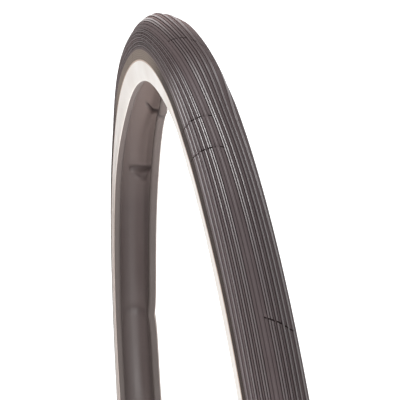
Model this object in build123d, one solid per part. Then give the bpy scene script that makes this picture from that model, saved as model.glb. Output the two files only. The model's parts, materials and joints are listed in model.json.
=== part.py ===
from build123d import *
import math
import os

# A wired-on road bicycle tyre with white sidewalls and a ribbed tread, off its rim.
# It stands upright: the wheel axis is Y, Z is up, and the origin is the centre of the bead seats.
# Every piece is a ring, so each is drawn once as a section and turned about Y.
# Left is the -Y side, and each left piece is the mirror image of the right one.
# A section is drawn at X = 0, in Y (across the tyre) and R (distance from the wheel axis).
# Lengths are in millimetres and angles in degrees.

# Overall sizes
BEAD_SEAT_RADIUS = 315.0  # half of the 630 mm rim that the beads sit on
SECTION_HEIGHT = 35.8  # bead seat to the top of the tread
WIDEST_HEIGHT = 13.1  # bead seat to the widest part of the sidewall
SECTION_WIDTH = 32.6  # across the sidewalls at the widest part
HEEL_WIDTH = 28.4  # across the outside of the two beads

# Thickness of each layer
TREAD_CAP = 2.65  # at the crown, over the tops of the low ribs
CUSHION = 0.5
CLOTH = 0.5  # the casing ply, its turned-up edges and the breaker
LINING = 0.5
CHAFER = 0.45
WRAP = 0.3
WHITE_AT_TOP = 0.75
WHITE_AT_HEEL = 0.65

# Shape of the casing across the section, from the crown down to the widest part
CROWN_ARC_RADIUS = 17.0
CROWN_ARC_ANGLE = 35.0
SIDEWALL_ANGLE = 15.0  # the turn made by the long sidewall arc
BREAKER_HALF_WIDTH = 10.9
JOINT_GAP = 0.1  # between edges that butt together

# Tread and shoulder, as distances along the casing from the crown
RIB_WIDTHS = [0.95, 1.65, 1.1, 1.2, 1.1, 1.2, 1.35, 1.3, 1.65, 1.4, 2.0, 1.4, 2.65]  # crown to edge
TALL_RIBS = [2, 3, 5, 7, 9, 11]  # ribs that stand above the rest, counted from the crown
TALL_RIB_EXTRA = 0.2
GROOVE_WIDTH = 0.5
GROOVE_DEPTH = 0.6
GROOVE_DRAFT = 0.12  # how much each wall of a groove leans
GROOVE_SHARE = 0.6  # a groove takes at most this share of the rubber over the cushion
SHOULDER_RUBBER = 0.8  # black rubber over the cushion beside the tread
SHOULDER_STEP = 0.08  # the shoulder starts this far below the tread's edge
SHOULDER_BULGE = 0.05  # how far its middle stands out of a straight taper
EDGE_RUBBER = 0.35  # rubber over the cushion where it meets the white sidewall
CROWN_FLAT = 7.5  # the tread is full thickness this far from the crown
CROWN_END = 13.8  # and down to the shoulder's thickness here
GUM_LINE = 0.45  # width of the cushion's edge that shows beside the white

# Beads
WIRE_RADIUS = 1.0
WIRE_GAP = 0.4  # between the ends of the hoop, inside the ferrule
FERRULE_LENGTH = 14.0
LEFT_JOINT_ANGLE = 35.0  # where the hoop is joined, turned from the top about Y
RIGHT_JOINT_ANGLE = 215.0
TOE_ROUND = 0.7
HEEL_ROUND = 0.6
CHAFER_OUTSIDE = 5.0  # height of the chafer's outer leg above the wire
CHAFER_INSIDE = 4.0  # length of its inner leg up from the wire
FILLER_TIP = 2.0  # the filler stops this far below the widest part

# Sizes that follow
BEAD_CORE = WIRE_RADIUS + WRAP
WIRE_CENTRE_R = BEAD_SEAT_RADIUS + CHAFER + CLOTH + BEAD_CORE
HEEL_Y = HEEL_WIDTH / 2 - WHITE_AT_HEEL  # outer face of the chafer
WIRE_CENTRE_Y = HEEL_Y - CHAFER - CLOTH - BEAD_CORE
TOE_Y = WIRE_CENTRE_Y - BEAD_CORE - CLOTH - CHAFER
CASING_CROWN_R = BEAD_SEAT_RADIUS + SECTION_HEIGHT - TREAD_CAP - CUSHION - CLOTH
CASING_WIDEST_Y = SECTION_WIDTH / 2 - WHITE_AT_TOP - CLOTH
WIDEST_R = BEAD_SEAT_RADIUS + WIDEST_HEIGHT


def sin(angle):
    return math.sin(math.radians(angle))


def cos(angle):
    return math.cos(math.radians(angle))


class Run:
    """A line of tangent arcs across the section, walked from the crown side to the bead.

    Each bend is (radius, turn), and a positive turn is anticlockwise in the Y-R plane.
    An offset is measured square to the line, and positive is outward, away from the air.
    A negative distance is the same place on the other side of the tyre.
    """

    def __init__(self, y, r, heading, bends):
        self.arcs = []
        start = 0.0
        for radius, turn in bends:
            side = math.copysign(1, turn)
            centre_y = y - side * radius * sin(heading)
            centre_r = r + side * radius * cos(heading)
            length = radius * math.radians(abs(turn))
            self.arcs.append((start, length, centre_y, centre_r, radius, side, heading))
            heading += turn
            y = centre_y + side * radius * sin(heading)
            r = centre_r - side * radius * cos(heading)
            start += length
        self.length = start
        self.end = (y, r)

    def at(self, distance, offset=0.0):
        """The point at a distance along the line, moved outward by the offset."""
        walked = min(abs(distance), self.length)
        for start, length, centre_y, centre_r, radius, side, heading in self.arcs:
            if walked <= start + length + 1e-9:
                break
        angle = heading + side * math.degrees((walked - start) / radius)
        reach = radius - side * offset
        y = centre_y + side * reach * sin(angle)
        r = centre_r - side * reach * cos(angle)
        return (0.0, math.copysign(y, distance) if distance else y, r)

    def edges(self, first, last, offset=0.0):
        """The arcs that follow the line between two distances, at one offset."""
        joints = {start for start, *_ in self.arcs[1:]}
        joints |= {-joint for joint in joints}
        low, high = sorted((first, last))
        stops = [low] + sorted(j for j in joints if low + 1e-6 < j < high - 1e-6) + [high]
        if first > last:
            stops.reverse()
        pairs = zip(stops, stops[1:])
        return [
            ThreePointArc(self.at(a, offset), self.at((a + b) / 2, offset), self.at(b, offset))
            for a, b in pairs
        ]


def double_bend(drop, shift):
    """Two equal arcs that carry a line straight down by drop while it moves across by shift."""
    turn = 2 * math.degrees(math.atan(abs(shift) / drop))
    radius = drop / 2 / sin(turn)
    side = math.copysign(turn, shift)
    return [(radius, side), (radius, -side)]


def casing_line():
    """The outer face of the casing, from the crown past the widest part and round the wire."""
    shoulder_turn = 90.0 - CROWN_ARC_ANGLE - SIDEWALL_ANGLE
    before, after = CROWN_ARC_ANGLE, CROWN_ARC_ANGLE + shoulder_turn
    # the shoulder and sidewall radii that bring the line to the widest point, heading straight down
    a, b = sin(after) - sin(before), 1 - sin(after)
    c, d = cos(before) - cos(after), cos(after)
    across = CASING_WIDEST_Y - CROWN_ARC_RADIUS * sin(before)
    down = CASING_CROWN_R - WIDEST_R - CROWN_ARC_RADIUS * (1 - cos(before))
    shoulder_radius = (across * d - b * down) / (a * d - b * c)
    sidewall_radius = (a * down - c * across) / (a * d - b * c)
    inward = CASING_WIDEST_Y - (WIRE_CENTRE_Y - BEAD_CORE)
    upper = [
        (CROWN_ARC_RADIUS, -CROWN_ARC_ANGLE),
        (shoulder_radius, -shoulder_turn),
        (sidewall_radius, -SIDEWALL_ANGLE),
    ]
    lower = double_bend(WIDEST_R - WIRE_CENTRE_R, -inward)
    round_the_wire = [(BEAD_CORE, 180.0)]
    print("casing arcs:", round(shoulder_radius, 2), round(sidewall_radius, 2))
    return Run(0.0, CASING_CROWN_R, 0.0, upper + lower + round_the_wire)


def turn_up_line():
    """The inner face of the turned-up cloth, from the widest part down to the wire."""
    inward = CASING_WIDEST_Y - (WIRE_CENTRE_Y + BEAD_CORE)
    return Run(CASING_WIDEST_Y, WIDEST_R, -90.0, double_bend(WIDEST_R - WIRE_CENTRE_R, -inward))


CASING = casing_line()
TURN_UP = turn_up_line()
WIDEST = sum(length for _, length, *_ in CASING.arcs[:3])  # distance to the widest part
AT_WIRE = sum(length for _, length, *_ in CASING.arcs[:5])  # distance to the level of the wire


def line(start, end):
    return [Line(start, end)]


def spot(y, r):
    return (0.0, y, r)


def ring(edges):
    """A closed section turned once about the wheel axis."""
    return revolve(make_face(edges), Axis.Y, 360)


def opposite(piece):
    """The same piece on the other side of the tyre."""
    return mirror(piece, Plane.XZ)


def band(run, first, last, inner, outer):
    """A strip of even thickness along a run."""
    far_end = line(run.at(last, inner), run.at(last, outer))
    near_end = line(run.at(first, outer), run.at(first, inner))
    back = run.edges(last, first, outer)
    return ring(run.edges(first, last, inner) + far_end + back + near_end)


# Tread

TREAD_BASE = CLOTH + CUSHION  # offset of the tread's underside from the casing


def rib_edges():
    """Distances from the crown to the middle of each groove, on one side."""
    edges = [0.0]
    for width in RIB_WIDTHS:
        edges.append(edges[-1] + width)
    return edges


TREAD_HALF_WIDTH = rib_edges()[-1]


def tread_top(distance):
    """Offset of the low ribs' tops from the casing."""
    full = TREAD_BASE + TREAD_CAP
    thin = TREAD_BASE + SHOULDER_RUBBER
    share = (CROWN_END - abs(distance)) / (CROWN_END - CROWN_FLAT)
    share = min(max(share, 0.0), 1.0)
    return thin + (full - thin) * share * share * (3 - 2 * share)


def tread_outline():
    """Points over the ribs and grooves of one side, from the crown to the tread's edge."""
    edges = rib_edges()
    half_groove = GROOVE_WIDTH / 2
    points = []
    for number, (start, end) in enumerate(zip(edges, edges[1:])):
        extra = TALL_RIB_EXTRA if number in TALL_RIBS else 0.0
        # a shallower groove where the tread is thin, so that rubber is left under it
        depth = min(GROOVE_DEPTH, (tread_top(end) - TREAD_BASE) * GROOVE_SHARE)
        rise, fall = start + half_groove, end - half_groove
        if number == 0:
            points.append(CASING.at(0.0, tread_top(0.0)))
        else:
            points.append(CASING.at(rise, tread_top(rise) + extra))
        points.append(CASING.at(fall, tread_top(fall) + extra))
        if number < len(edges) - 2:
            points.append(CASING.at(fall + GROOVE_DRAFT, tread_top(fall) - depth))
            points.append(CASING.at(end + half_groove - GROOVE_DRAFT, tread_top(end) - depth))
    return points


def tread_cap():
    """The black ribbed rubber that runs on the road."""
    right = tread_outline()
    left = [(x, -y, r) for x, y, r in reversed(right[1:])]
    top = Polyline(*left, *right)
    edge = TREAD_HALF_WIDTH - GROOVE_WIDTH / 2
    down = line(right[-1], CASING.at(edge, TREAD_BASE))
    up = line(CASING.at(-edge, TREAD_BASE), left[0])
    return ring([top] + down + CASING.edges(edge, -edge, TREAD_BASE) + up)


def shoulder():
    """The plain black strip between the tread and the white sidewall."""
    start = TREAD_HALF_WIDTH - GROOVE_WIDTH / 2
    end = WIDEST - GUM_LINE
    top = TREAD_BASE + SHOULDER_RUBBER - SHOULDER_STEP
    bottom = TREAD_BASE + EDGE_RUBBER
    middle = CASING.at((start + end) / 2, (top + bottom) / 2 + SHOULDER_BULGE)
    face = [ThreePointArc(CASING.at(start, top), middle, CASING.at(end, bottom))]
    foot = line(CASING.at(end, bottom), CASING.at(end, TREAD_BASE))
    head = line(CASING.at(start, TREAD_BASE), CASING.at(start, top))
    return ring(face + foot + CASING.edges(end, start, TREAD_BASE) + head)


def cushion():
    """Tan gum under the tread, whose edges come to the surface beside the white."""
    surface = TREAD_BASE + EDGE_RUBBER
    lip = WIDEST - GUM_LINE
    under = CASING.edges(-WIDEST, WIDEST, CLOTH)
    right = line(CASING.at(WIDEST, CLOTH), CASING.at(WIDEST, surface))
    right += CASING.edges(WIDEST, lip, surface)
    right += line(CASING.at(lip, surface), CASING.at(lip, TREAD_BASE))
    left = line(CASING.at(-lip, TREAD_BASE), CASING.at(-lip, surface))
    left += CASING.edges(-lip, -WIDEST, surface)
    left += line(CASING.at(-WIDEST, surface), CASING.at(-WIDEST, CLOTH))
    return ring(under + right + CASING.edges(lip, -lip, TREAD_BASE) + left)


# Casing


def breaker():
    """Woven strip that guards the crown against cuts."""
    return band(CASING, -BREAKER_HALF_WIDTH, BREAKER_HALF_WIDTH, 0.0, CLOTH)


def casing_ply():
    """Rubbered cloth from bead to bead, which passes inside and under each wire."""
    return band(CASING, -CASING.length, CASING.length, -CLOTH, 0.0)


def turn_up():
    """The edge of the cloth, turned up outside the filler and lapped under the tread."""
    lap = BREAKER_HALF_WIDTH + JOINT_GAP
    bottom, top = TURN_UP.length, lap
    inner = CASING.edges(top, WIDEST) + TURN_UP.edges(0.0, bottom)
    foot = line(TURN_UP.at(bottom), TURN_UP.at(bottom, CLOTH))
    outer = TURN_UP.edges(bottom, 0.0, CLOTH) + CASING.edges(WIDEST, top, CLOTH)
    head = line(CASING.at(top, CLOTH), CASING.at(top))
    return ring(inner + foot + outer + head)


def lining():
    """Thin rubber skin on the air side of the casing."""
    end = AT_WIRE - CHAFER_INSIDE
    return band(CASING, -end, end, -CLOTH - LINING, -CLOTH)


# Beads


def wire_section(radius):
    return Plane.YZ * Pos(WIRE_CENTRE_Y, WIRE_CENTRE_R) * Circle(radius)


def part_turn(section, first, last):
    """A section swept about the wheel axis between two angles from the top."""
    return revolve(section.rotate(Axis.Y, first), Axis.Y, last - first)


def sleeve_half_angle():
    return math.degrees(FERRULE_LENGTH / WIRE_CENTRE_R) / 2


def bead_wire(joint_angle):
    """One hoop of hard steel wire, whose ends nearly meet."""
    half_gap = math.degrees(WIRE_GAP / WIRE_CENTRE_R) / 2
    first, last = joint_angle + half_gap, joint_angle + 360 - half_gap
    return part_turn(wire_section(WIRE_RADIUS), first, last)


def bead_ferrule(joint_angle):
    """Steel sleeve crimped over the ends of the wire."""
    half = sleeve_half_angle()
    section = wire_section(BEAD_CORE) - wire_section(WIRE_RADIUS)
    return part_turn(section, joint_angle - half, joint_angle + half)


def bead_wrap(joint_angle):
    """Rubbered tape wound on the wire, up to both ends of the ferrule."""
    half = sleeve_half_angle()
    section = wire_section(BEAD_CORE) - wire_section(WIRE_RADIUS)
    return part_turn(section, joint_angle + half, joint_angle + 360 - half)


def bead_filler():
    """Hard rubber wedge that fills the space above the wire."""
    casing_end, turn_up_end = WIDEST + FILLER_TIP, FILLER_TIP
    inner_side = CASING.edges(casing_end, AT_WIRE)
    over_wire = [
        ThreePointArc(
            spot(WIRE_CENTRE_Y - BEAD_CORE, WIRE_CENTRE_R),
            spot(WIRE_CENTRE_Y, WIRE_CENTRE_R + BEAD_CORE),
            spot(WIRE_CENTRE_Y + BEAD_CORE, WIRE_CENTRE_R),
        )
    ]
    outer_side = TURN_UP.edges(TURN_UP.length, turn_up_end)
    tip = line(TURN_UP.at(turn_up_end), CASING.at(casing_end))
    return ring(inner_side + over_wire + outer_side + tip)


def chafer_outer_top():
    """Distance down the turned-up cloth to the top of the chafer's outer leg."""
    return TURN_UP.length - CHAFER_OUTSIDE


def chafer():
    """Woven strip that wears against the rim: inside, under and outside the bead."""
    inner_top, outer_top = AT_WIRE - CHAFER_INSIDE, chafer_outer_top()
    inner_face, outer_face = -CLOTH - CHAFER, CLOTH + CHAFER
    round_bead = CASING.edges(inner_top, CASING.length, -CLOTH)
    up_outside = TURN_UP.edges(TURN_UP.length, outer_top, CLOTH)
    outer_end = line(TURN_UP.at(outer_top, CLOTH), TURN_UP.at(outer_top, outer_face))
    down_outside = TURN_UP.edges(outer_top, TURN_UP.length, outer_face)
    heel = line(spot(HEEL_Y, WIRE_CENTRE_R), spot(HEEL_Y, BEAD_SEAT_RADIUS))
    toe_start = spot(TOE_Y + TOE_ROUND, BEAD_SEAT_RADIUS)
    toe_end = spot(TOE_Y, BEAD_SEAT_RADIUS + TOE_ROUND)
    seat = line(spot(HEEL_Y, BEAD_SEAT_RADIUS), toe_start)
    back = TOE_ROUND * (1 - cos(45))
    toe = [ThreePointArc(toe_start, spot(TOE_Y + back, BEAD_SEAT_RADIUS + back), toe_end)]
    rise = line(toe_end, spot(TOE_Y, WIRE_CENTRE_R))
    up_inside = CASING.edges(AT_WIRE, inner_top, inner_face)
    inner_end = line(CASING.at(inner_top, inner_face), CASING.at(inner_top, -CLOTH))
    edges = round_bead + up_outside + outer_end + down_outside + heel + seat
    return ring(edges + toe + rise + up_inside + inner_end)


def white_sidewall():
    """White rubber from the heel of the bead up to the gum line."""
    outer_top = chafer_outer_top()
    surface = TREAD_BASE + EDGE_RUBBER
    up_heel = line(spot(HEEL_Y, BEAD_SEAT_RADIUS), spot(HEEL_Y, WIRE_CENTRE_R))
    over_chafer = TURN_UP.edges(TURN_UP.length, outer_top, CLOTH + CHAFER)
    step = line(TURN_UP.at(outer_top, CLOTH + CHAFER), TURN_UP.at(outer_top, CLOTH))
    up_cloth = TURN_UP.edges(outer_top, 0.0, CLOTH)
    top = line(CASING.at(WIDEST, CLOTH), CASING.at(WIDEST, surface))
    # the outer face is one arc, upright at the widest part
    foot_y, foot_r = HEEL_Y + HEEL_ROUND, BEAD_SEAT_RADIUS + HEEL_ROUND
    widest_y = CASING_WIDEST_Y + surface
    drop, inward = WIDEST_R - foot_r, widest_y - foot_y
    radius = (drop**2 + inward**2) / (2 * inward)
    half_drop = drop / 2
    middle_y = widest_y - radius + math.sqrt(radius**2 - half_drop**2)
    middle = spot(middle_y, WIDEST_R - half_drop)
    face = [ThreePointArc(spot(widest_y, WIDEST_R), middle, spot(foot_y, foot_r))]
    back = HEEL_ROUND * (1 - cos(45))
    corner = spot(foot_y - back, BEAD_SEAT_RADIUS + back)
    heel = [ThreePointArc(spot(foot_y, foot_r), corner, spot(HEEL_Y, BEAD_SEAT_RADIUS))]
    return ring(up_heel + over_chafer + step + up_cloth + top + face + heel)


def both_sides(name, right):
    """A right-hand piece and its mirror image."""
    return {f"{name}_left": opposite(right), f"{name}_right": right}


def all_pieces():
    pieces = {
        "tread_cap": tread_cap(),
        "cushion_gum": cushion(),
        "breaker_strip": breaker(),
        "casing_ply": casing_ply(),
        "inner_lining": lining(),
    }
    pieces |= both_sides("shoulder_strip", shoulder())
    pieces |= both_sides("white_sidewall", white_sidewall())
    pieces |= both_sides("ply_turn_up", turn_up())
    pieces |= both_sides("bead_filler", bead_filler())
    pieces |= both_sides("chafer_strip", chafer())
    for name, make in (("wire", bead_wire), ("wrap", bead_wrap), ("ferrule", bead_ferrule)):
        pieces[f"bead_{name}_left"] = opposite(make(LEFT_JOINT_ANGLE))
        pieces[f"bead_{name}_right"] = make(RIGHT_JOINT_ANGLE)
    return pieces


os.makedirs("parts", exist_ok=True)
for name, piece in all_pieces().items():
    export_step(piece, f"parts/{name}.step")
    print(name, "volume", round(piece.volume))
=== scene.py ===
# %% [markdown]
# # A bicycle tyre with white sidewalls, standing off its rim
# The real tyre is a stack of rings: rubbered cloth, thin rubber skins, two steel hoops and a ribbed tread.
# Nearly every piece here is one closed outline that is carried round the wheel axis, and then one
# function bends the whole stack a little, because a tyre off its rim is soft.
# A Screw modifier could turn an outline into a ring too, but the layers must also bend together,
# point by point, so that none cuts into its neighbour. So the points are worked out with numpy instead.
# The sizes come from the frame, so before it is bent each piece lies where the model of record has it.

# %% Load the frame
import json
import math
import bmesh
import bpy
import numpy as np
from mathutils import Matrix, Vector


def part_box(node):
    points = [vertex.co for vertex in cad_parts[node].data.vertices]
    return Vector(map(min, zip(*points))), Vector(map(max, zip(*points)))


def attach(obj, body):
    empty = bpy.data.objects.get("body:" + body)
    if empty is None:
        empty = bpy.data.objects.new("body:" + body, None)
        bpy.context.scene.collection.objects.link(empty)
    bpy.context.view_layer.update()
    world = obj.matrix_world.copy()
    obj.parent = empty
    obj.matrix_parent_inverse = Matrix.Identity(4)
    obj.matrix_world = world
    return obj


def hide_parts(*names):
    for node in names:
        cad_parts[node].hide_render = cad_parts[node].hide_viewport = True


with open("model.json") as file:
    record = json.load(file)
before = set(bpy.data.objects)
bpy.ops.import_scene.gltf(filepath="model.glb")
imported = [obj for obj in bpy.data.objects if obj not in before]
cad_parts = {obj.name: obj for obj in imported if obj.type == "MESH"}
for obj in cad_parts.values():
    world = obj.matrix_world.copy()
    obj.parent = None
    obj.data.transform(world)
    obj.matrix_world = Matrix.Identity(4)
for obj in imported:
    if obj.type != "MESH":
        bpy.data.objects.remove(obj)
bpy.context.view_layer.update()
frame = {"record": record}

# %% [markdown]
# ## The camera
# A long lens a good way off keeps the two branches of the ring nearly parallel.
# The camera could be placed by its own coordinates, but a direction, a distance and the point
# that it looks at are easier to change one at a time.

# %% Place the camera
AIM = (-0.1704, 0.0194, 0.1739)
DISTANCE = 1.6
AZIMUTH = 80.12
ELEVATION = 36.57
LENS = 236.84
NEAREST_SEEN = 0.01


def place_camera():
    """A camera that looks at AIM from the given azimuth and elevation, in degrees."""
    az, el = math.radians(AZIMUTH), math.radians(ELEVATION)
    back = np.array([math.sin(az) * math.cos(el), -math.cos(az) * math.cos(el), math.sin(el)])
    camera = bpy.data.objects.new("camera", bpy.data.cameras.new("camera"))
    bpy.context.scene.collection.objects.link(camera)
    camera.location = np.array(AIM) + DISTANCE * back
    camera.rotation_euler = (math.radians(90 - ELEVATION), 0, math.atan2(back[1], back[0]) + math.pi / 2)
    camera.data.lens = LENS
    camera.data.clip_start = NEAREST_SEEN
    bpy.context.scene.camera = camera
    return camera


camera = place_camera()
print("camera at", [round(c, 4) for c in camera.location])

# %% [markdown]
# ## The sizes of the tyre
# Each size is read from a piece's box in the frame, so that a change to the model of record
# is followed here without a second edit. The one thickness that no box shows is named last.
# The wheel axis is Y, so a piece's highest Z is its outer radius.

# %% Read the sizes, in millimetres
MM = 0.001
Y, Z = 1, 2


def high(node, axis):
    """The far side of a node's box along an axis, in millimetres."""
    return round(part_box(node)[1][axis] / MM, 2)


def low(node, axis):
    """The near side of a node's box along an axis, in millimetres."""
    return round(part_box(node)[0][axis] / MM, 2)


seat = frame["record"]["mounts"][0]["dims"]
SEAT_R = seat["r_mm"]
HEEL_Y = seat["length_mm"] / 2
TOE_Y = low("chafer_strip_right", Y)
CROWN_R = high("tread_cap", Z)
CASING_CROWN_R = high("casing_ply", Z)
CASING_HALF = high("casing_ply", Y)
WIDEST_R = high("white_sidewall_right", Z)
OUTER_HALF = high("white_sidewall_right", Y)
CLOTH = high("breaker_strip", Z) - CASING_CROWN_R
CUSHION = high("cushion_gum", Z) - high("breaker_strip", Z)
# half the thickness of the bare wire and of the wrapped one, and where the wire lies
WIRE = (high("bead_wire_right", Y) - low("bead_wire_right", Y)) / 2
CORE = (high("bead_wrap_right", Y) - low("bead_wrap_right", Y)) / 2
WIRE_Y = (high("bead_wire_right", Y) + low("bead_wire_right", Y)) / 2
WIRE_R = high("bead_wire_right", Z) - WIRE
CHAFER = HEEL_Y - WIRE_Y - CORE - CLOTH
LINING = 0.5
print("crown", CROWN_R, "casing", CASING_CROWN_R, CASING_HALF, "widest at", WIDEST_R, OUTER_HALF)
print("cloth", round(CLOTH, 2), "cushion", round(CUSHION, 2), "chafer", round(CHAFER, 2))
print("wire at", WIRE_Y, WIRE_R, "is", 2 * WIRE, "thick bare and", round(2 * CORE, 2), "wrapped")

# %% [markdown]
# ## The contour of the casing
# A tyre's section is a chain of tangent arcs: a round crown, a tighter shoulder, a long sidewall,
# and a double bend that carries the cloth in to the bead wire and round it.
# A place on the section is then a distance walked along the chain and an offset square to it,
# which is how a tyre maker thinks of the layers: so far from the crown, so thick.
# A free curve through points could give the same look, but its layers would not stay parallel.

# %% A chain of tangent arcs
def sin(angle):
    """The sine of an angle in degrees."""
    return math.sin(math.radians(angle))


def cos(angle):
    """The cosine of an angle in degrees."""
    return math.cos(math.radians(angle))


# lets a place exactly where two arcs meet belong to the first, whatever the rounding
ROUNDING = 1e-9


class Contour:
    """Tangent arcs across the tyre, from the crown to the bead. A positive offset is outward.

    A negative distance is the same place on the left side, where y is negative.
    """

    def __init__(self, y, r, heading, bends):
        """Starts at (y, r), facing a heading in degrees. Each bend is a radius and a turn in degrees."""
        self.arcs = []
        start = 0.0
        for radius, turn in bends:
            side = math.copysign(1, turn)
            centre_y = y - side * radius * sin(heading)
            centre_r = r + side * radius * cos(heading)
            length = radius * math.radians(abs(turn))
            self.arcs.append((start, length, centre_y, centre_r, radius, side, heading))
            heading += turn
            y = centre_y + side * radius * sin(heading)
            r = centre_r - side * radius * cos(heading)
            start += length
        self.length = start

    def at(self, distance, offset=0.0):
        """The point (y, r) at a distance along the contour and an offset square to it."""
        walked = min(abs(distance), self.length)
        for start, length, centre_y, centre_r, radius, side, heading in self.arcs:
            if walked <= start + length + ROUNDING:
                break
        angle = heading + side * math.degrees((walked - start) / radius)
        reach = radius - side * offset
        y = centre_y + side * reach * sin(angle)
        r = centre_r - side * reach * cos(angle)
        return (math.copysign(y, distance) if distance else y, r)

    def path(self, first, last, offset=0.0, step=1.0):
        """Points along the contour between two distances, at one offset."""
        count = max(2, math.ceil(abs(last - first) / step) + 1)
        return [self.at(distance, offset) for distance in np.linspace(first, last, count)]


quarter = Contour(0.0, 0.0, 0.0, [(10.0, -90.0)])
print("a quarter turn of 10 mm radius is", round(quarter.length, 2), "mm long")


# %% The casing's own contour, and that of its turned-up edge
CROWN_RADIUS = 17.0
CROWN_TURN = 35.0
SIDEWALL_TURN = 15.0
UPPER_ARCS = 3
ARCS_TO_WIRE = UPPER_ARCS + 2


def double_bend(drop, shift):
    """Two equal arcs that go straight down by drop while moving across by shift."""
    turn = 2 * math.degrees(math.atan(abs(shift) / drop))
    radius = drop / 2 / sin(turn)
    side = math.copysign(turn, shift)
    return [(radius, side), (radius, -side)]


def casing_contour():
    """The outer face of the casing cloth, from the crown to the far side of the bead wire.

    The radii of the shoulder and the sidewall are found from two equations:
    how far the upper arcs must reach across, and how far down.
    """
    shoulder_turn = 90 - CROWN_TURN - SIDEWALL_TURN
    before, after = CROWN_TURN, CROWN_TURN + shoulder_turn
    shoulder_across, sidewall_across = sin(after) - sin(before), 1 - sin(after)
    shoulder_down, sidewall_down = cos(before) - cos(after), cos(after)
    across = CASING_HALF - CROWN_RADIUS * sin(before)
    down = CASING_CROWN_R - WIDEST_R - CROWN_RADIUS * (1 - cos(before))
    both = shoulder_across * sidewall_down - sidewall_across * shoulder_down
    shoulder_radius = (across * sidewall_down - sidewall_across * down) / both
    sidewall_radius = (shoulder_across * down - shoulder_down * across) / both
    upper = [
        (CROWN_RADIUS, -CROWN_TURN),
        (shoulder_radius, -shoulder_turn),
        (sidewall_radius, -SIDEWALL_TURN),
    ]
    lower = double_bend(WIDEST_R - WIRE_R, -(CASING_HALF - WIRE_Y + CORE))
    return Contour(0.0, CASING_CROWN_R, 0.0, upper + lower + [(CORE, 180.0)])


CASING = casing_contour()
WIDEST = sum(arc[1] for arc in CASING.arcs[:UPPER_ARCS])
AT_WIRE = sum(arc[1] for arc in CASING.arcs[:ARCS_TO_WIRE])
TURN_UP = Contour(
    CASING_HALF, WIDEST_R, -90.0, double_bend(WIDEST_R - WIRE_R, -(CASING_HALF - WIRE_Y - CORE))
)
print("casing length each side", round(CASING.length, 2), "widest at", round(WIDEST, 2))

# %% [markdown]
# ## Places round the section
# Off its rim a tyre is soft, and this one looks as if it had been folded. To bend all its layers alike,
# each point is told by the angle round the section, its reach from the section's middle,
# and the angle along the ring. Soft steps and hills of these numbers then make every bend.
# A lattice could bend the ring too, but a fold this narrow would pinch the layers together.

# %% Soft steps, and places round the section
MIDDLE_R = CASING_CROWN_R - CROWN_RADIUS
SECTION_POINTS = 300
SECTION_DISTANCE = np.linspace(0, AT_WIRE, SECTION_POINTS)
SECTION = np.array([CASING.at(distance) for distance in SECTION_DISTANCE])
SECTION_ANGLE = np.degrees(np.arctan2(SECTION[:, 0], SECTION[:, 1] - MIDDLE_R))
SECTION_REACH = np.hypot(SECTION[:, 0], SECTION[:, 1] - MIDDLE_R)
print("bead wire is at", round(SECTION_ANGLE[-1]), "degrees round the section")


def bump(x, middle, spread):
    """A smooth hill of height 1."""
    return np.exp(-(((x - middle) / spread) ** 2))


def turned(theta, middle):
    """How far theta is from middle, in degrees, the short way round."""
    return (theta - middle + 180) % 360 - 180


def smooth(share):
    """An even rise from 0 to 1, held at both ends."""
    share = np.clip(share, 0.0, 1.0)
    return share * share * (3 - 2 * share)


def between(theta, first, last, ease):
    """1 between two angles, easing to 0 outside them."""
    return smooth((theta - first) / ease + 0.5) * smooth((last - theta) / ease + 0.5)


def round_section(y, r):
    """The angle round the section and the reach from its middle."""
    return np.degrees(np.arctan2(y, r - MIDDLE_R)), np.hypot(y, r - MIDDLE_R)


def casing_reach(around):
    """How far the casing is from the section's middle, at an angle round it."""
    return np.interp(np.abs(around), SECTION_ANGLE, SECTION_REACH)


def across_at(around):
    """The distance across the casing from the crown, in mm, at an angle round the section."""
    return np.copysign(np.interp(np.abs(around), SECTION_ANGLE, SECTION_DISTANCE), around)


# %% [markdown]
# ## Folds and dents
# A folded casing keeps sharp lines and shallow dents, and shade is painted along them.
# Painted lines would catch no light, so the casing is really pushed out or in along each one,
# and the same functions tell the finish later where to paint that shade.
# Each takes a distance across the casing, in mm, and an angle along the ring, in degrees.

# %% A fold, and a crease beside it
FOLD_AT_CROWN, FOLD_AT_BEAD = 153.9, 145.5
FOLD_WIDTH = 0.4
FOLD_STARTS, FOLD_EASE = 8.0, 3.0
FOLD_TURNS, FOLD_ROUNDING, FOLD_SLOPE = 16.0, 3.0, 0.15
TIP_LENGTH, TIP_LIFT = 2.0, 0.02
CREASE_FROM, CREASE_EASE = 151.5, 4.0
CREASE_ACROSS, CREASE_SWING = 11.0, 13.0
CREASE_SOFTNESS = 3.6
# a span is its first and last angle along the ring, and how gently it begins and ends, in degrees
CREASE_STRONG, CREASE_FAINT = (151, 164, 3), (164, 200, 6)
FAINT_SHARE = 0.5


def fold_line(across, theta):
    """A sharp fold that curves from the crown to the right bead, from 0 beside it to 1 on it."""
    past = across - FOLD_TURNS
    fold = FOLD_AT_CROWN - FOLD_SLOPE * (past + np.hypot(past, FOLD_ROUNDING))
    fold = fold - TIP_LIFT * np.clip(-TIP_LENGTH - past, 0, None) ** 2
    fold = np.maximum(fold, FOLD_AT_BEAD)
    return bump(theta, fold, FOLD_WIDTH) * smooth((across - FOLD_STARTS) / FOLD_EASE)


def crease_line(across, theta):
    """A softer crease that leaves the bead beside the fold and then follows the ring."""
    past = np.clip(theta - CREASE_FROM, 0, None)
    crease = CREASE_ACROSS + CREASE_SWING * np.exp(-past / CREASE_EASE)
    strength = between(theta, *CREASE_STRONG) + FAINT_SHARE * between(theta, *CREASE_FAINT)
    return bump(across, crease, CREASE_SOFTNESS) * strength


print("the fold goes from", FOLD_AT_CROWN, "degrees at the crown to", FOLD_AT_BEAD, "at the bead")


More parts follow.
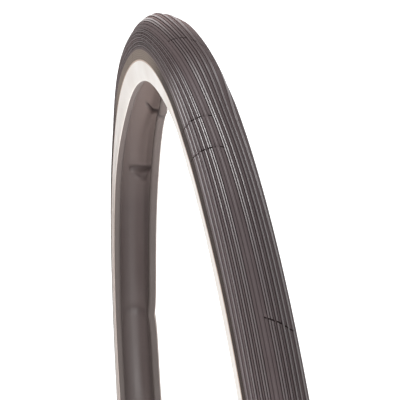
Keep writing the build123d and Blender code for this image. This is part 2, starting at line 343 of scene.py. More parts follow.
# %% A dent with two curved edges, and a fainter line further round
DENT_AT = 166.4
DENT_CURVE = 0.0052
DENT_FROM, DENT_TO, DENT_EASE = -2.0, 27.0, 5.0
DENT_MIDDLE = 12.0
DENT_EDGE_WIDTH = 0.45
LOWER_EDGE, LOWER_CURVE, LOWER_SHARE, LOWER_WIDTH = 1.7, 0.014, 0.6, 0.4
FAINT_LINE_AT, FAINT_LINE_MIDDLE, FAINT_LINE_WIDTH = 187.6, 7.0, 0.6
LINE_REACH = 9.0


def below_dent(across, theta):
    """How far a place is past the dent's upper edge, in degrees along the ring."""
    return theta - (DENT_AT - DENT_CURVE * across**2)


def dent_lines(across, theta):
    """The two edges of the dent and the fainter line, from 0 beside them to 1 on the strongest."""
    inside = smooth((across - DENT_FROM) / DENT_EASE) * smooth((DENT_TO - across) / DENT_EASE)
    below = below_dent(across, theta)
    lower_at = LOWER_EDGE - LOWER_CURVE * (across - DENT_MIDDLE) ** 2
    lower = LOWER_SHARE * bump(below, lower_at, LOWER_WIDTH) * bump(across, DENT_MIDDLE, LINE_REACH)
    faint = FAINT_SHARE * bump(theta, FAINT_LINE_AT, FAINT_LINE_WIDTH)
    faint = faint * bump(across, FAINT_LINE_MIDDLE, LINE_REACH)
    return bump(below, 0, DENT_EDGE_WIDTH) * inside + lower + faint


print("the dent is at", DENT_AT, "degrees along the ring, and the fainter line at", FAINT_LINE_AT)


# %% How far they press the casing, and where shade is painted along them
FOLD_OUT, DENT_EDGE_OUT = 1.3, 1.7
CREASE_IN, DENT_IN = 0.9, 0.6
HOLLOW_AT = 0.9
FOLD_FADES_AT, FOLD_FADES_OVER = 34.0, 6.0
# how far the hollow and its painted shade spread, in degrees along the ring and in mm across
HOLLOW_SPREAD, HOLLOW_SHADE_SPREAD = (0.6, 6), (0.7, 8)
# how strongly shade is painted on the crease, the dent's lines and its hollow, beside the fold's
CREASE_SHADE, DENT_SHADE, HOLLOW_SHADE = 0.12, 0.6, 0.4


def hollow(across, theta, spread):
    """The hollow of the dent, between its two edges."""
    along, wide = spread
    return bump(below_dent(across, theta), HOLLOW_AT, along) * bump(across, DENT_MIDDLE, wide)


def pressed(across, theta):
    """How far the casing stands out, in mm."""
    out = FOLD_OUT * fold_line(across, theta) * smooth((FOLD_FADES_AT - across) / FOLD_FADES_OVER)
    out += DENT_EDGE_OUT * dent_lines(across, theta) - CREASE_IN * crease_line(across, theta)
    return out - DENT_IN * hollow(across, theta, HOLLOW_SPREAD)


def painted_fold_shade(across, theta):
    """How much shade is painted along the folds and in the dent's hollow, 0 to 1."""
    lines = fold_line(across, theta) + CREASE_SHADE * crease_line(across, theta)
    lines = lines + DENT_SHADE * dent_lines(across, theta)
    return np.clip(lines + HOLLOW_SHADE * hollow(across, theta, HOLLOW_SHADE_SPREAD), 0, 1)


pushed = pressed(*np.meshgrid(np.arange(0, 40, 0.2), np.arange(140, 200, 0.2)))
print("the folds push the casing out by up to", round(float(pushed.max()), 2), "mm")
print("and in by up to", round(-float(pushed.min()), 2), "mm")

# %% [markdown]
# ## The slack of the whole ring
# A loose tyre is never quite round or even: the crown lifts near the top, the beads stand apart,
# and the soft left sidewall has crept up under the tread's edge.
# Each of these is a small function with its own sizes, and one last function applies them in turn,
# so that every layer is moved by the same amount and none cuts through another.

# %% Where the ring is slack, and by how much
# each creep is an angle round the section, and the span along the ring that it acts over
CREEP = [(15.0, (-40, 77, 12)), (8.0, (77, 94, 12)), (-4.0, (100, 165, 14))]
CREEP_MIDDLE, CREEP_SPREAD = -88, 24
# each hill is its height in mm, and its middle and spread along the ring
CROWN_HILLS = [(3.2, 122.5, 11.0), (0.8, 120.5, 6.0)]
FLANK_IN, FLANK_ALONG = 1.3, (128, 14)
# middle and spread of the flank and of the sidewall, as shares of the tyre's height
FLANK, SIDEWALL = (0.5, 0.2), (0.55, 0.3)
FAR_BRANCH = (152, 260, 22)
OVER_TOP = (98, 200, 12)
TOP_OF_NEAR = (60, 120, 20)
LEFT_BEAD_OUT, LEFT_BEAD_OUT_TOP, RIGHT_BEAD_OUT = 2.3, 0.6, 1.0
LEFT_STRAIGHTER, RIGHT_STRAIGHTER = 0.8, 2.2
SLIM, SLIMMER_OVER_TOP = 0.97, 0.03
LEFT_FULLER = [(0.045, (58, 96, 12)), (0.075, (196, 225, 30))]
FULLER_ABOVE = 0.25
# each kink is its size in mm, its angle along the ring, and how quickly it dies away
BEAD_KINKS = [(0.9, FOLD_AT_BEAD, 1.2), (-1.6, 185.4, 2.2)]
BEAD_FROM, BEAD_EASE = 85, 40


def creep(around, theta):
    """How far the left sidewall has crept up towards the tread, in degrees round the section."""
    up = sum(amount * between(theta, *span) for amount, span in CREEP)
    return up * bump(around, CREEP_MIDDLE, CREEP_SPREAD) * (around < 0)


def lifted(y, r, height, theta):
    """The radius after the crown has lifted near the top and the left flank has sunk behind it."""
    r = r + height**2 * sum(rise * bump(theta, at, spread) for rise, at, spread in CROWN_HILLS)
    return r - FLANK_IN * bump(theta, *FLANK_ALONG) * bump(height, *FLANK) * (y < 0)


def spread_beads(y, r, height, theta):
    """The place across after the beads have come apart and the far branch has become more of a V."""
    depth = smooth((WIDEST_R - r) / (WIDEST_R - SEAT_R))
    far = between(theta, *FAR_BRANCH)
    left = -LEFT_BEAD_OUT * far - LEFT_BEAD_OUT_TOP * between(theta, *TOP_OF_NEAR)
    y = y + np.where(y < 0, left, RIGHT_BEAD_OUT * far) * depth
    return y - np.where(y < 0, -LEFT_STRAIGHTER, RIGHT_STRAIGHTER) * far * bump(height, *SIDEWALL)


def slimmed(y, height, theta):
    """The place across after the section has slimmed at the top and filled out elsewhere on the left."""
    wide = SLIM - SLIMMER_OVER_TOP * between(theta, *OVER_TOP)
    fuller = sum(share * between(theta, *span) for share, span in LEFT_FULLER)
    return y * (wide + np.where(y < 0, fuller, 0.0) * smooth(height / FULLER_ABOVE))


def kink(around, theta):
    """How far both folds push the right bead across."""
    out = sum(size * np.exp(-np.abs(theta - at) / reach) for size, at, reach in BEAD_KINKS)
    return out * smooth((around - BEAD_FROM) / BEAD_EASE)


lift = lifted(0.0, 0.0, 1.0, np.arange(90, 150))
print("the crown lifts by up to", round(float(lift.max()), 2), "mm")


# %% Bend every layer with one function
def flex(y, r, theta):
    """Moves points (y, r) at angle theta, in degrees from +X towards +Z. Arrays of one shape."""
    around, reach = round_section(y, r)
    crept = around + creep(around, theta)
    reach = reach + casing_reach(crept) - casing_reach(around)
    reach = reach + pressed(across_at(crept), theta)
    y = reach * np.sin(np.radians(crept))
    r = MIDDLE_R + reach * np.cos(np.radians(crept))
    height = np.clip((r - SEAT_R) / (CROWN_R - SEAT_R), 0, 1)
    r = lifted(y, r, height, theta)
    y = slimmed(spread_beads(y, r, height, theta), height, theta)
    return y + kink(crept, theta), r


right, _ = flex(OUTER_HALF, WIDEST_R, 90.0)
print("at the top, the right side moves from", OUTER_HALF, "mm across to", round(float(right), 2))

# %% [markdown]
# ## The roll of the tread
# The slack ring has rolled to the left near the top, where the ribs are also drawn apart.
# On the real tyre the cloth goes with the tread, but it looks the same wherever it is, so only the tread
# and the shoulders move here: each of their points gets a new distance from the crown before
# the whole ring is bent. The lips beside the white rubber don't move.

# %% Roll the tread across the casing
ROLL = 2.3
ROLL_EXTRA = 12.9
ROLL_AT = 128.0
ROLL_SPREAD = 30.0
FULL_ROLL_FROM, FULL_ROLL_TO = 8.0, 14.0
DRAWN = (97, 140, 14)
DRAWN_LEFT, DRAWN_RIGHT = 0.1, 0.3
GUM_LINE = 0.9
LIP = WIDEST - GUM_LINE


def rolled(distance, theta):
    """Where a place on the tread lies when the tread has rolled to the left. It never passes the lip."""
    stretch = between(theta, *DRAWN) * np.where(distance > 0, DRAWN_RIGHT, DRAWN_LEFT)
    distance = distance + stretch * distance * smooth((LIP - np.abs(distance)) / LIP * 2)
    roll = ROLL + ROLL_EXTRA * bump(turned(theta, ROLL_AT), 0, ROLL_SPREAD)
    left = smooth((distance + LIP) / (LIP + FULL_ROLL_FROM))
    right = smooth((LIP - distance) / (LIP - FULL_ROLL_TO))
    return distance - roll * left * right


print("the tread rolls by up to", ROLL + ROLL_EXTRA, "mm")

# %% [markdown]
# ## From an outline to a ring
# An outline is a closed list of points (y, r). It is repeated at many angles round the axis,
# and each pair of neighbours is joined by a strip of four-sided faces.
# The columns are closer together where the casing is folded, so that a sharp line has points to lie on.

# %% Turn an outline into a ring
START, END = -90, 270
COLUMN = 0.75
FINE_COLUMN = 0.25
FINE_FROM, FINE_TO = 146.0, 192.0
SHARP_ANGLE = 40


def columns():
    """The angles at which an ordinary ring has its points, closer together where it is dented."""
    coarse = [a for a in np.arange(START, END, COLUMN) if not FINE_FROM <= a < FINE_TO]
    return np.array(sorted([*coarse, *np.arange(FINE_FROM, FINE_TO, FINE_COLUMN)]))


def make_object(name, points, faces, sharp=SHARP_ANGLE):
    """A mesh object in metres, smooth except at edges sharper than the given angle."""
    mesh = bpy.data.meshes.new(name)
    mesh.vertices.add(len(points))
    mesh.vertices.foreach_set("co", (points * MM).astype(np.float32).ravel())
    mesh.loops.add(faces.size)
    mesh.loops.foreach_set("vertex_index", faces.astype(np.int32).ravel())
    mesh.polygons.add(len(faces))
    mesh.polygons.foreach_set("loop_start", np.arange(0, faces.size, faces.shape[1], dtype=np.int32))
    mesh.polygons.foreach_set("use_smooth", np.ones(len(faces), dtype=bool))
    mesh.update(calc_edges=True)
    mesh.validate()
    mesh.set_sharp_from_angle(angle=math.radians(sharp))
    piece = bpy.data.objects.new(name, mesh)
    bpy.context.scene.collection.objects.link(piece)
    return piece


def ring_points(y, r, theta):
    """Points of the bent tyre for arrays y, r and theta of shape (outline, columns)."""
    y, r = flex(y, r, theta)
    angle = np.radians(theta)
    return np.stack([r * np.cos(angle), y, r * np.sin(angle)], axis=-1).reshape(-1, 3)


def grid_faces(rows, across, closed):
    """Quads between an outline's points, and between columns; a closed ring joins last to first."""
    i = np.arange(rows)[:, None]
    j = np.arange(across if closed else across - 1)[None, :]
    up, along = (i + 1) % rows, (j + 1) % across
    corners = [i * across + j, up * across + j, up * across + along, i * across + along]
    return np.stack([np.broadcast_to(c, (rows, j.size)) for c in corners], axis=-1).reshape(-1, 4)


print("three points on a closed ring of four columns make", len(grid_faces(3, 4, closed=True)), "faces")


# %% A full ring, and the marks that its finish reads
COLUMNS = columns()
# two points nearer than this, in mm, are one
SAME_PLACE = 0.0001


def without_repeats(outline):
    """The outline without points that lie on the one before, always in the same sense of turn."""
    kept = [p for k, p in enumerate(outline) if math.dist(p, outline[k - 1]) > SAME_PLACE]
    area = sum(a[0] * b[1] - b[0] * a[1] for a, b in zip(kept, kept[1:] + kept[:1]))
    return kept if area < 0 else kept[::-1]


def mark(piece, name, share):
    """Gives each point a value from 0 to 1 that a finish can read."""
    value = piece.data.attributes.new(name, "FLOAT", "POINT")
    value.data.foreach_set("value", np.ascontiguousarray(share, dtype=np.float32).ravel())


def full_ring(name, outline):
    """The outline carried all the way round the wheel axis."""
    outline = np.array(without_repeats(outline))
    theta = np.broadcast_to(COLUMNS, (len(outline), len(COLUMNS)))
    y = np.broadcast_to(outline[:, :1], theta.shape)
    r = np.broadcast_to(outline[:, 1:], theta.shape)
    faces = grid_faces(len(outline), len(COLUMNS), closed=True)
    piece = make_object(name, ring_points(y, r, theta), faces)
    around, _ = round_section(y, r)
    # painted shade along the folds and dents, which darkens the lining and the chafer
    mark(piece, "painted_fold_shade", painted_fold_shade(across_at(around), theta))
    return piece


print(len(COLUMNS), "columns in a full ring")

# %% [markdown]
# Every piece stands for the solid of the same name in the model of record, and there is one body,
# so one helper can name it and hide the plain solid.

# %% Put a piece in the place of its plain solid
SIDES = (("left", -1), ("right", 1))
pieces = {}


def mirrored(outline):
    """The same outline on the left side of the tyre."""
    return [(-y, r) for y, r in outline]


def add(node, piece):
    """The piece stands for the CAD node of the same name and rides on the one body."""
    piece.name = "look_" + node
    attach(piece, "root")
    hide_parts(node)
    pieces[node] = piece


def add_pair(node, outline):
    """A right-hand piece and its mirror image."""
    add(node + "_right", full_ring(node, outline))
    add(node + "_left", full_ring(node, mirrored(outline)))


print("a pair has a piece on the", SIDES[0][0], "and one on the", SIDES[1][0])

# %% [markdown]
# ## The casing layers
# From the air side out: a thin rubber lining, the casing cloth, the breaker strip under the tread,
# and a cushion of tan gum whose two edges come to the surface beside the white sidewalls.
# Only the lining and the gum's edges are seen, but each layer is a closed solid of its own,
# as it is when the tyre is built up on its drum.

# %% Lining, casing cloth, breaker and cushion
BREAKER_HALF = 10.9
CHAFER_INSIDE = 4.0
CHAFER_OUTSIDE = 5.0
EDGE_RUBBER = 0.35
LINING_STEP, GUM_EDGE_STEP = 0.7, 0.15
LINING_HALF = AT_WIRE - CHAFER_INSIDE
TREAD_BASE = CLOTH + CUSHION
SURFACE = TREAD_BASE + EDGE_RUBBER


def strip(half, inner, outer, step=1.0):
    """The outline of an even layer between two offsets, the same distance to either side."""
    return CASING.path(-half, half, inner, step) + CASING.path(half, -half, outer, step)


def cushion_outline():
    """A thin layer under the tread, thicker at its two edges, where it comes to the surface."""
    right = CASING.path(WIDEST, LIP, SURFACE, GUM_EDGE_STEP)
    left = CASING.path(-LIP, -WIDEST, SURFACE, GUM_EDGE_STEP)
    under = CASING.path(-WIDEST, WIDEST, CLOTH)
    return under + right + CASING.path(LIP, -LIP, TREAD_BASE) + left


lining = strip(LINING_HALF, -CLOTH - LINING, -CLOTH, LINING_STEP)
add("inner_lining", full_ring("lining", lining))
add("casing_ply", full_ring("casing", strip(CASING.length, -CLOTH, 0.0)))
add("breaker_strip", full_ring("breaker", strip(BREAKER_HALF, 0.0, CLOTH)))
add("cushion_gum", full_ring("cushion", cushion_outline()))
print("lining has", len(pieces["inner_lining"].data.polygons), "faces")

# %% [markdown]
# ## The beads
# Each bead is a steel hoop wrapped in rubbered tape. The cloth passes inside and under it
# and is turned up outside, a wedge of hard rubber fills the space above it,
# and a woven chafer takes the rub of the rim.
# Each outline follows the contours that the others use too, so that the layers meet with no gap.

# %% Turned-up cloth, filler and chafer
FILLER_TIP = 2.0
TOE_CLEARANCE = 0.02
TOE_ROUND = WIRE_R - SEAT_R - TOE_CLEARANCE
JOINT_GAP = 0.1
CHAFER_STEP = 0.4
CHAFER_TOP = TURN_UP.length - CHAFER_OUTSIDE


def arc_points(centre, radius, first, last, count):
    """Points on an arc, from one angle to another, in degrees from +y towards +r."""
    angles = np.radians(np.linspace(first, last, count))
    return [(centre[0] + radius * math.cos(a), centre[1] + radius * math.sin(a)) for a in angles]


def turn_up_outline():
    """The cloth's edge, up outside the filler and lapped against the breaker's edge."""
    lap = BREAKER_HALF + JOINT_GAP
    inner = CASING.path(lap, WIDEST) + TURN_UP.path(0, TURN_UP.length)
    outer = TURN_UP.path(TURN_UP.length, 0, CLOTH) + CASING.path(WIDEST, lap, CLOTH)
    return inner + outer


def filler_outline():
    """The wedge of hard rubber between the two runs of cloth, standing on the wrapped wire."""
    inner = CASING.path(WIDEST + FILLER_TIP, AT_WIRE)
    over_wire = arc_points((WIRE_Y, WIRE_R), CORE, 180, 0, count=9)
    return inner + over_wire + TURN_UP.path(TURN_UP.length, FILLER_TIP)


def chafer_outline():
    """The woven strip from inside the bead, round its toe and heel, and up outside."""
    round_bead = CASING.path(LINING_HALF, CASING.length, -CLOTH, CHAFER_STEP)
    up_outside = TURN_UP.path(TURN_UP.length, CHAFER_TOP, CLOTH)
    down_outside = TURN_UP.path(CHAFER_TOP, TURN_UP.length, CLOTH + CHAFER)
    toe = arc_points((TOE_Y + TOE_ROUND, SEAT_R + TOE_ROUND), TOE_ROUND, 270, 180, count=12)
    up_inside = CASING.path(AT_WIRE, LINING_HALF, -CLOTH - CHAFER, CHAFER_STEP)
    return round_bead + up_outside + down_outside + [(HEEL_Y, SEAT_R)] + toe + up_inside


add_pair("ply_turn_up", turn_up_outline())
add_pair("bead_filler", filler_outline())
add_pair("chafer_strip", chafer_outline())
print("the chafer reaches", CHAFER_INSIDE, "mm above the wire inside, and", CHAFER_OUTSIDE, "mm outside")

# %% [markdown]
# The hoop, its wrap and the sleeve over its joint don't run all the way round,
# so they are swept between two angles. The hoop's ends are closed with a flat face,
# and the wrap and the sleeve are tubes, so their outline goes out along one face and back along the other.

# %% Hoops, wraps and ferrules
FERRULE_LENGTH = 14.0
WIRE_GAP = 0.4
JOINT_ANGLE = {"left": 55.0, "right": 235.0}
AROUND_WIRE = 20
FEWEST_COLUMNS = 8
TAPE_TURNS_PER_DEGREE, TAPE_STEP = 1.9, 0.06
CRIMP_AT, CRIMP_WIDTH, CRIMP_DEPTH = 0.5, 0.12, 0.12


def circles(side, radius, theta):
    """Circles about the wire, one for each angle: y and r arrays of shape (around, columns)."""
    around = np.linspace(0, -2 * np.pi, AROUND_WIRE, endpoint=False)[:, None]
    radius = np.broadcast_to(radius, np.shape(theta))[None, :]
    y = side * WIRE_Y + radius * np.cos(around)
    return y, WIRE_R + radius * np.sin(around)


def hoop(side, first, last):
    """A solid wire between two angles, with flat ends."""
    theta = np.linspace(first, last, round((last - first) / COLUMN))
    y, r = circles(side, WIRE, theta)
    faces = grid_faces(AROUND_WIRE, len(theta), closed=False)
    piece = make_object("hoop", ring_points(y, r, np.broadcast_to(theta, y.shape)), faces)
    work = bmesh.new()
    work.from_mesh(piece.data)
    bmesh.ops.holes_fill(work, edges=[edge for edge in work.edges if edge.is_boundary])
    work.to_mesh(piece.data)
    work.free()
    return piece


def sleeve(side, first, last, wall):
    """A tube on the wire: out along its outer face, and back along its inner one."""
    count = max(FEWEST_COLUMNS, round((last - first) / COLUMN))
    out = np.linspace(first, last, count)
    theta = np.concatenate([out, out[::-1]])
    y, r = circles(side, np.concatenate([wall(out), np.full(count, WIRE)]), theta)
    faces = grid_faces(AROUND_WIRE, len(theta), closed=True)
    return make_object("sleeve", ring_points(y, r, np.broadcast_to(theta, y.shape)), faces)


def taped(theta):
    """The tape overlaps itself at each turn, which leaves a low step."""
    turn = (theta * TAPE_TURNS_PER_DEGREE) % 1.0
    return CORE - TAPE_STEP * turn


def crimped(theta):
    """Two rings pressed into the ferrule."""
    place = np.linspace(-1, 1, len(theta))
    return CORE - CRIMP_DEPTH * (bump(place, -CRIMP_AT, CRIMP_WIDTH) + bump(place, CRIMP_AT, CRIMP_WIDTH))


for name, side in SIDES:
    joint = JOINT_ANGLE[name]
    gap = math.degrees(WIRE_GAP / WIRE_R) / 2
    grip = math.degrees(FERRULE_LENGTH / WIRE_R) / 2
    add("bead_wire_" + name, hoop(side, joint + gap, joint + 360 - gap))
    add("bead_wrap_" + name, sleeve(side, joint + grip, joint + 360 - grip, taped))
    add("bead_ferrule_" + name, sleeve(side, joint - grip, joint + grip, crimped))
print("each ferrule covers", round(2 * grip, 2), "degrees of its hoop")

# %% [markdown]
# ## The white sidewalls
# The white rubber is thick at the heel and tapers up to the widest part of the tyre,
# where a hair of tan gum parts it from the black shoulder.
# Its face is one large arc, which gives an even highlight that a row of flat faces would break.

# %% White sidewalls
HEEL_ROUND = 0.6


def sidewall_outline():
    """The face, round the heel, and back up over the chafer and the turned-up cloth."""
    foot = (HEEL_Y + HEEL_ROUND, SEAT_R + HEEL_ROUND)
    inward, drop = OUTER_HALF - foot[0], WIDEST_R - foot[1]
    radius = (drop**2 + inward**2) / (2 * inward)
    turn = math.degrees(math.asin(drop / radius))
    face = arc_points((OUTER_HALF - radius, WIDEST_R), radius, 0, -turn, count=24)
    heel = arc_points((HEEL_Y, SEAT_R + HEEL_ROUND), HEEL_ROUND, 0, -90, count=7)
    over_chafer = TURN_UP.path(TURN_UP.length, CHAFER_TOP, CLOTH + CHAFER)
    return face + heel + over_chafer + TURN_UP.path(CHAFER_TOP, 0, CLOTH)


add_pair("white_sidewall", sidewall_outline())
print("white sidewall is", round(WIDEST_R - SEAT_R, 2), "mm tall")

# %% [markdown]
# ## Rings that roll
# The tread and the shoulders lie on the casing's outside, so their points are given as a distance
# across it and a height above it. That place is looked up in a table, because the tread has
# more than a hundred thousand points and walking the arcs for each would be slow.

# %% Places on the surface
TABLE_ROWS = 1601
TABLE = np.linspace(-WIDEST, WIDEST, TABLE_ROWS)
TABLE_START = np.array([CASING.at(d, 0.0) for d in TABLE])
TABLE_SQUARE = np.array([CASING.at(d, 1.0) for d in TABLE]) - TABLE_START
ROLLED_SHARP_ANGLE = 60


def surface(distance, height):
    """Points (y, r) at arrays of distances across the casing and heights above it."""
    start = [np.interp(distance, TABLE, TABLE_START[:, k]) for k in (0, 1)]
    square = [np.interp(distance, TABLE, TABLE_SQUARE[:, k]) for k in (0, 1)]
    return start[0] + square[0] * height, start[1] + square[1] * height


def rolled_ring(name, distance, height, theta):
    """A ring on the casing's outside, whose places across it roll with the tread."""
    distance, height, theta = np.broadcast_arrays(distance, height, theta)
    y, r = surface(rolled(distance, theta), height)
    faces = grid_faces(*theta.shape, closed=True)
    return make_object(name, ring_points(y, r, theta), faces, sharp=ROLLED_SHARP_ANGLE)


print("the table has a row every", round(float(TABLE[1] - TABLE[0]), 3), "mm")

# %% [markdown]
# ## The tread
# The tread is fine ribs with narrow grooves between them, pressed in by the mould.
# A flat band of very low ribs lies along the middle, tall and low ribs take turns beside it,
# and the ribs grow wider towards the shoulder.
# Bump alone would not do for ribs this fine, because they have to catch the light and show
# at the edge of the ring, so the outline has nine points on each rib.

# %% The ribs across the tread
TREAD_EDGE = 18.7
SHOULDER_TOP = TREAD_BASE + 0.72
GROOVE_DEPTH = 0.6
GROOVE_SHARE = 0.6
MIDDLE_GROOVE = 0.1
THICK_AT_CROWN = CROWN_R - CASING_CROWN_R
THICK_AT_EDGE = SHOULDER_TOP + 0.08
CROWN_FLAT, CROWN_END = 7.5, 13.8
TALL, LOW = 0.2, -0.1
# width of each rib from the middle out, how far it stands up, and how deep the groove beside it is
RIBS = [
    (0.95, LOW, 0.2),
    (1.65, LOW, 0.7),
    (1.10, TALL, 1.0),
    (1.20, TALL, 1.0),
    (1.10, LOW, 1.0),
    (1.20, TALL, 1.0),
    (1.35, LOW, 1.0),
    (1.30, TALL, 1.0),
    (1.65, LOW, 1.0),
    (1.40, TALL, 1.0),
    (2.00, LOW, 1.0),
    (1.40, TALL, 1.0),
    (2.65, LOW / 2, 1.0),
]
# how far in from a rib's edge its wall is, and what share of the rib's height is reached there
WALL = [(0.09, 0.0), (0.14, 0.5), (0.2, 0.85)]
# a rib is nearly flat over this share of its width, but the flat never reaches its wall
TALL_FLAT, LOW_FLAT, FLAT_ENDS = 0.55, 0.75, 0.26
AT_FLAT_EDGE = 0.98


def tread_top(distance):
    """Height of a rib over the casing cloth, before it is made tall or low."""
    share = smooth((CROWN_END - abs(distance)) / (CROWN_END - CROWN_FLAT))
    return THICK_AT_EDGE + (THICK_AT_CROWN - TALL - THICK_AT_EDGE) * share


def rib_points():
    """Points over one side's ribs: distance, height of the groove floor, height of the rib."""
    points = [(0.0, tread_top(0.0) - MIDDLE_GROOVE, tread_top(0.0))]
    start = 0.0
    for number, (width, rise, deep) in enumerate(RIBS):
        end = start + width
        half = width / 2
        rubber = tread_top(end) - TREAD_BASE
        floor = tread_top(end) - deep * min(GROOVE_DEPTH, rubber * GROOVE_SHARE)
        flat_half = min(half - FLAT_ENDS, half * (TALL_FLAT if rise > 0 else LOW_FLAT))
        profile = [(half - inward, share) for inward, share in WALL] + [(flat_half, AT_FLAT_EDGE)]
        for x, share in [(-x, h) for x, h in profile] + [(0.0, 1.0)] + profile[::-1]:
            before_middle = number == 0 and x < 0
            past_edge = number == len(RIBS) - 1 and x > half / 2
            if before_middle or past_edge:
                continue
            distance = start + half + x
            full = tread_top(distance) + rise
            points.append((distance, floor, floor + (full - floor) * share))
        start = end
    return points


print("ribs reach", round(sum(rib[0] for rib in RIBS), 2), "mm from the crown")

# %% [markdown]
# ## The rows of cuts
# Short rows of cuts cross the ribs, left and right of the middle by turns.
# A boolean cut of so fine a mesh would be slow and leave bad faces. Instead each cut is four extra
# columns of points, close together, whose inner two sink to the groove floor.

# %% Where the cuts lie
ROWS_AROUND = 9
PITCH = 360 / ROWS_AROUND
LEFT_ROWS = (91.5, 86.9)
RIGHT_ROWS = (68.4,)
CUT_WALLS = (-0.098, -0.072, 0.072, 0.098)
# where each cut of a row begins and ends, as distances from the middle of the pattern
LEFT_CUTS = [(-24.2, -20.2), (-18.9, -15.0), (-14.2, -11.0), (-10.0, -6.4), (-5.4, -2.6), (-1.6, 2.4)]
RIGHT_CUTS = [(0.2, 1.8), (2.6, 5.2), (6.2, 8.8), (9.8, 12.2), (13.0, 15.6)]
LEFT_CURVE, RIGHT_CURVE, RIGHT_SLANT = 0.0045, 0.0035, 0.12
TIP_FROM, TIP_CURVE = 12, 0.007
TREAD_COLUMN = 0.5
CLEAR_OF_ROW = 0.2


def row_line(distance):
    """How far a row has curved away from its angle, in degrees, at a distance from the middle."""
    line = np.where(distance < 0, LEFT_CURVE, RIGHT_CURVE) * distance**2
    line = line - RIGHT_SLANT * np.maximum(distance, 0)
    return line - TIP_CURVE * np.maximum(-TIP_FROM - distance, 0) ** 2


def cut_rows():
    """Every row: its angle and its cuts."""
    rows = []
    for number in range(ROWS_AROUND):
        rows += [(angle + number * PITCH, LEFT_CUTS) for angle in LEFT_ROWS]
        rows += [(angle + number * PITCH, RIGHT_CUTS) for angle in RIGHT_ROWS]
    return [((angle - START) % 360 + START, cuts) for angle, cuts in rows]


def tread_columns():
    """Even columns, except near a row of cuts, and for each column the cuts that it sinks into."""
    rows = cut_rows()
    even = np.arange(START, END, TREAD_COLUMN)
    clear = [a for a in even if all(abs(turned(a, row)) > CLEAR_OF_ROW for row, _ in rows)]
    found = [(angle, ()) for angle in clear]
    for row, cuts in rows:
        for k, wall in enumerate(CUT_WALLS):
            found.append((row + wall, cuts if k in (1, 2) else ()))
    found.sort(key=lambda column: column[0])
    return found


TREAD_COLUMNS = tread_columns()


def bent_columns(distance):
    """The angle of every column at each distance, so that the columns follow the rows of cuts."""
    return np.array([angle for angle, _ in TREAD_COLUMNS])[None, :] + row_line(distance)


def cut_places(distance):
    """For each cut in each column, which of the outline's points are inside it, and the column."""
    for column, (_, cuts) in enumerate(TREAD_COLUMNS):
        for first, last in cuts:
            yield (distance > first) & (distance < last), column


print(len(cut_rows()), "rows of cuts in", len(TREAD_COLUMNS), "columns")

# %% [markdown]
# Besides its shape, the tread carries three marks for its finish: how far up a rib each point is,
# how matt the rubber is there and how much shade is painted on it, and how much paler it is painted
# for the wax film and a painted sheen.

# %% The tread as one mesh
UNDER_POINTS = 38
# over the top of the ring the rubber is matt and its film is painted darker: painted shade
DULL_AND_SHADED_TOP = (100, 165, 9)
SHINY_MOST, SHINY_FROM, SHINY_EASE = 0.8, 108, 12
LESS_RUBBED_AND_SHADED, LESS_RUBBED_AND_SHADED_SPAN = 0.45, (88, 165, 14)
# how far right of the middle each of them starts, and over how many mm it grows
SHINY_SIDE, SHINY_SIDE_EASE = 1, 4
LESS_RUBBED_AND_SHADED_SIDE, LESS_RUBBED_AND_SHADED_SIDE_EASE = 2, 5
# the tread's paler film past the top on the right is partly wax and partly a painted sheen
BLOOM_AND_SHEEN_TO, BLOOM_AND_SHEEN_EASE = 150, 20


def tread_outline():
    """The ribs from left to right and the flat underside: distance, groove floor and height.

    The number of points on the ribs' side comes with it.
    """
    side = [*rib_points(), (TREAD_EDGE, TREAD_BASE, tread_top(TREAD_EDGE))]
    top = [(-d, f, h) for d, f, h in reversed(side[1:])] + side
    under = [(d, TREAD_BASE, TREAD_BASE) for d in np.linspace(TREAD_EDGE, -TREAD_EDGE, UNDER_POINTS)]
    return np.array(top + under), len(top)


def tread():
    """The tread with its cuts, and its three marks: rib height, matt rubber with painted shade, and a
    paler film for wax and painted sheen.
    """
    outline, count = tread_outline()
    distance, floor = outline[:, :1], outline[:, 1]
    theta = bent_columns(distance)
    height = np.repeat(outline[:, 2:], len(TREAD_COLUMNS), axis=1)
    for inside, column in cut_places(outline[:, 0]):
        height[inside, column] = floor[inside]
    piece = rolled_ring("tread", distance, height, theta)
    full = np.array([tread_top(d) for d in outline[:, 0]])[:, None]
    rib = np.clip(1 + (height - full - TALL) / (GROOVE_DEPTH + TALL), 0, 1)
    rib[count:] = 0
    mark(piece, "rib", rib)
    # the right side is shinier past the top and painted paler there as a sheen; before the top it is matt,
    # with fewer bright crests, and painted darker as shade
    shiny = SHINY_MOST * smooth((distance - SHINY_SIDE) / SHINY_SIDE_EASE)
    shiny = shiny * smooth((theta - SHINY_FROM) / SHINY_EASE)
    less_rubbed_and_shaded = LESS_RUBBED_AND_SHADED * smooth((distance - LESS_RUBBED_AND_SHADED_SIDE) / LESS_RUBBED_AND_SHADED_SIDE_EASE)
    less_rubbed_and_shaded = less_rubbed_and_shaded * between(theta, *LESS_RUBBED_AND_SHADED_SPAN)
    mark(piece, "dull_and_shaded", np.maximum(between(theta, *DULL_AND_SHADED_TOP) * (1 - shiny), less_rubbed_and_shaded))
    # paler film: wax, and a painted sheen where the crown reflects at a grazing angle
    mark(piece, "bloom_and_sheen", shiny * smooth((BLOOM_AND_SHEEN_TO - theta) / BLOOM_AND_SHEEN_EASE))
    return piece


add("tread_cap", tread())
print("tread has", len(pieces["tread_cap"].data.polygons), "faces")

# %% [markdown]
# ## The shoulder strips
# They carry on from the tread: shallow ribs that die out at the lip beside the white rubber.
# They use the tread's own columns, so that a row of cuts runs on across the joint.

